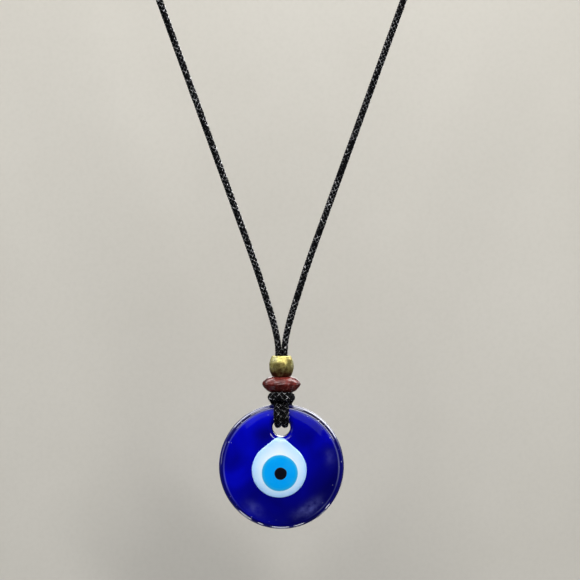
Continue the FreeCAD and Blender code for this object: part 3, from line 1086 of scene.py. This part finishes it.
HITCH_SAMPLES = 14    # between one station and the next


def hitch():
    """Lark's head: down the front, through the hole, up the back, over and across the front."""
    half = np.array(HITCH_HALF)
    lead_in = half[1].copy()
    lead_in[2] = 2 * half[0][2] - half[1][2]
    half = np.vstack([lead_in, half])
    other = half[:-1][::-1] * np.array([-1, 1, 1, 1])
    samples = smooth(np.vstack([half, other]), HITCH_SAMPLES)
    path = Path(samples[:, :3] + np.array([0, 0, DISC_Z]), samples[:, 3])
    cord("hitch_cord", path, 0.0, path.end, "hitch_loop", "drop",
         thread_radius=HITCH_THREAD_RADIUS)


COIL_TURNS = 3.15
COIL_PITCH = 2.04
COIL_CLEARANCE = 0.05  # between the coil and the two strands in it
COIL_SAMPLES = 420
TUCK_TURNS = 0.28      # the last part of a turn at each end, tucked in under the coil
TUCK_DEPTH = 0.62


def coil_points():
    """Left knot: the cord's end wound round the two strands of the run."""
    flat = 2 * RUN_OFFSET
    bend = CORD_RADIUS + COIL_CLEARANCE + CORD_RADIUS
    half_round = math.pi * bend
    perimeter = 2 * (flat + half_round)
    turns = np.linspace(-TUCK_TURNS, COIL_TURNS + TUCK_TURNS, COIL_SAMPLES)
    tucked = np.clip(np.maximum(-turns, turns - COIL_TURNS) / TUCK_TURNS, 0, 1)
    points = []
    for turn, tuck in zip(turns, tucked):
        along = (turn % 1.0) * perimeter
        way = 1 if along < flat + half_round else -1
        along %= flat + half_round
        if along < flat:
            y, z = RUN_OFFSET - along, bend
        else:
            angle = math.pi / 2 + (along - flat) / bend
            y, z = bend * math.cos(angle) - RUN_OFFSET, bend * math.sin(angle)
        shrink = way * (1 - TUCK_DEPTH * tuck * tuck)
        x = COIL_PITCH * (COIL_TURNS / 2 - min(max(turn, 0.0), COIL_TURNS))
        points.append((x - KNOT_X, y * shrink, z * shrink + RUN_HEIGHT))
    return np.array(points)


TAIL_STRAIGHT = 5.5
TAIL_END_SHIFT = (0.35, 0.05, 0.1)  # from the corner of the CAD tail's box, less the cord's radius
TIP_LENGTH = 0.95
TIP_OVERLAP = 0.45
TIP_RINGS = 10
TIP_SIDES = 28


def tail_points():
    """Free end that stands out of the left knot and curls away from the run."""
    low, high = box_mm("left_tail")
    start = np.array([-KNOT_X, RUN_OFFSET, RUN_HEIGHT])
    bend = start - np.array([TAIL_STRAIGHT, 0, 0])
    end = np.array([low[0], high[1] - CORD_RADIUS, high[2] - CORD_RADIUS]) + TAIL_END_SHIFT
    arrive = (end - bend) * np.array([1, 2, 2])
    arrive /= np.linalg.norm(arrive)
    return np.concatenate([
        np.linspace(start, bend, 20),
        hermite(bend, (-1, 0, 0), end, arrive, 40),
    ])


def melted_end(name, path, body):
    """Lumpy rounded end of the cord."""
    angles = np.arange(TIP_SIDES) * TURN / TIP_SIDES
    shares = np.linspace(0, 1, TIP_RINGS + 1)
    places = path.at(path.end - TIP_LENGTH * (1 - shares))
    points = []
    for share, centre, side, other, radius in zip(shares, *places):
        swell = 1.03 * radius * (1 - share ** 3.5) ** 0.5 + 0.02
        lumps = 1 + 0.05 * np.sin(3 * angles + 2 * share) + 0.03 * np.sin(7 * angles)
        points.append(centre + np.outer(swell * lumps * np.cos(angles), side)
                      + np.outer(swell * lumps * np.sin(angles), other))
    faces = grid_faces(len(points), TIP_SIDES).tolist()
    faces.append([TIP_RINGS * TIP_SIDES + step for step in range(TIP_SIDES)])
    faces.append([TIP_SIDES - 1 - step for step in range(TIP_SIDES)])
    made = make_mesh(name, np.concatenate(points), faces, [MELTED])
    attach(made, body)


def knots():
    for name, turn in (("left", 1), ("right", -1)):
        coil = coil_points()
        tail = tail_points()
        if turn < 0:
            coil = half_turn(coil)
            tail = half_turn(tail)
        coil = Path(coil)
        tail = Path(tail)
        body = name + "_slider"
        cord(name + "_knot_coil", coil, 0.0, coil.end, name + "_sliding_knot", body)
        tail_end = tail.end - TIP_LENGTH + TIP_OVERLAP
        cord(name + "_tail_cord", tail, 0.0, tail_end, name + "_tail", body)
        melted_end(name + "_tail_tip", tail, body)


glass_disc()
eye()
saucer()
barrel()
strands()
hitch()
knots()


# ------------------------------------------------------------------ stage, light and camera

BACKDROP_BEHIND = 56.0
BACKDROP_REACH = 2400.0     # from its middle to each edge
VIEW_WIDTH = 162.6          # at the distance of the disc
CAMERA_AWAY = 450.0
VIEW_CENTRE = (2.4, 49.4)   # to the right of the disc's centre, and over it
SENSOR = 36.0
CAMERA_PLACE = Vector((VIEW_CENTRE[0], -CAMERA_AWAY, VIEW_CENTRE[1] + DISC_Z)) * MM
SKY_BLUE = (0.78, 0.87, 1.0)
PALE = (0.56, 0.54, 0.50)
CARD_AWAY = 0.70            # from the disc, in metres, as the cards' sizes are
RIM_GLINTS = [(236, 12), (251, 5), (269, 13), (285, 9), (316, 6)]  # direction, width in degrees


def backdrop_board():
    """Pale and uneven in front, clear for a camera behind it."""
    shader = Shader("backdrop_board")
    cloud = shader.noise(14, detail=3.0)
    fine = shader.noise(700, detail=3.0)
    body = shader.ramp(cloud, (0.3, (0.50, 0.475, 0.42)), (0.7, (0.53, 0.505, 0.45)))
    colour = shader.mix(shader.span(fine, 0.0, 0.12, 0.4, 0.7), body, (0.40, 0.38, 0.33))
    shader.set(Base_Color=colour, Roughness=0.75)
    from_behind = shader.node("ShaderNodeNewGeometry").outputs["Backfacing"]
    by_camera = shader.node("ShaderNodeLightPath").outputs["Is Camera Ray"]
    choose = shader.node("ShaderNodeMixShader")
    shader.link(shader.multiply(from_behind, by_camera), choose.inputs[0])
    shader.link(shader.surface.outputs[0], choose.inputs[1])
    shader.link(shader.node("ShaderNodeBsdfTransparent").outputs[0], choose.inputs[2])
    shader.link(choose.outputs[0], shader.tree.nodes["Material Output"].inputs["Surface"])
    return shader.material


def backdrop():
    """Surface behind the necklace, seen only from the front."""
    reach = BACKDROP_REACH
    corners = [(x, BACKDROP_BEHIND, z)
               for x, z in ((-reach, -reach), (reach, -reach), (reach, reach), (-reach, reach))]
    made = make_mesh("backdrop", corners, [(0, 1, 2, 3)], [backdrop_board()])
    made.visible_glossy = False
    made.visible_shadow = False


def card(name, around, off_axis, width, height, radiance, away=CARD_AWAY, colour=(1, 1, 1)):
    """Soft light card that faces the disc. It stands off the viewing axis by one angle, towards
    another angle round it (0 is right, 90 is up); its width runs round the axis."""
    turn = math.radians(around)
    lean = math.radians(off_axis)
    data = bpy.data.lights.new(name, "AREA")
    data.shape = "RECTANGLE"
    data.size = width
    data.size_y = height
    data.energy = radiance * math.pi * width * height
    data.color = colour
    made = add_object(name, data)
    disc = Vector((0.0, 0.0, DISC_Z * MM))
    to_camera = (CAMERA_PLACE - disc).normalized()
    right = Vector((0, 0, 1)).cross(to_camera).normalized()
    above = to_camera.cross(right)
    outward = math.cos(turn) * right + math.sin(turn) * above
    out = math.cos(lean) * to_camera + math.sin(lean) * outward
    across = math.cos(turn) * above - math.sin(turn) * right
    basis = Matrix((across, out.cross(across), out)).transposed()
    made.matrix_world = Matrix.Translation(disc + away * out) @ basis.to_4x4()
    return made


def lights():
    card("key", 52, 38, width=0.62, height=0.09, radiance=17.0)
    card("left", 126, 40, width=0.45, height=0.07, radiance=13.0)
    card("sky_right", 54, 27, width=0.46, height=0.32, radiance=0.30, away=0.90, colour=SKY_BLUE)
    card("sky_left", 127, 28, width=0.36, height=0.26, radiance=0.26, away=0.90, colour=SKY_BLUE)
    card("top", 95, 76, width=0.66, height=0.14, radiance=11.0, away=0.60)
    card("side_left", 172, 88, width=0.30, height=0.25, radiance=2.2, away=0.80)
    fill = card("fill", 266, 46, width=0.80, height=0.30, radiance=1.2, colour=SKY_BLUE)
    fill.visible_glossy = False
    for around, spread in RIM_GLINTS:
        width = CARD_AWAY * math.radians(spread)
        card("glint_" + str(around), around, 101, width=width, height=0.18, radiance=11.0)
    card("behind_right", 53, 115, width=0.66, height=0.26, radiance=9.0)
    card("behind_left", 125, 113, width=0.42, height=0.16, radiance=8.0)
    card("back", 75, 162, width=0.40, height=0.20, radiance=3.0, away=0.80)


def world():
    """Pale for the camera; as light, bright above and dark by the camera; dim in reflections."""
    made = bpy.data.worlds.new("studio")
    bpy.context.scene.world = made
    made.use_nodes = True
    nodes = Nodes(made.node_tree)
    background = nodes.tree.nodes["Background"]
    background.inputs["Strength"].default_value = 1.0
    direction = nodes.node("ShaderNodeSeparateXYZ")
    nodes.link(nodes.node("ShaderNodeTexCoord").outputs["Generated"], direction.inputs[0])
    light_path = nodes.node("ShaderNodeLightPath")
    above = nodes.span(direction.outputs["Z"], 0.05, 1.3, 0.25, 0.95, "SMOOTHSTEP")
    behind = nodes.span(direction.outputs["Y"], 0.10, 0.0, 0.35, -0.75, "SMOOTHSTEP")
    light = nodes.math("ADD", above, behind, clamp=False)
    dimmed = nodes.span(light_path.outputs["Is Glossy Ray"], 1.0, 0.35)
    light = nodes.math("MULTIPLY", light, dimmed, clamp=False)
    colour = nodes.mix(light_path.outputs["Is Camera Ray"], light, PALE)
    nodes.link(colour, background.inputs["Color"])


def camera():
    data = bpy.data.cameras.new("camera")
    data.sensor_width = SENSOR
    data.lens = SENSOR * CAMERA_AWAY / VIEW_WIDTH
    data.clip_start = 0.01
    data.clip_end = 20.0
    made = add_object("camera", data)
    made.location = CAMERA_PLACE
    made.rotation_euler = (math.pi / 2, 0, 0)
    bpy.context.scene.camera = made


backdrop()
lights()
world()
camera()
bpy.context.scene.view_settings.view_transform = "Standard"
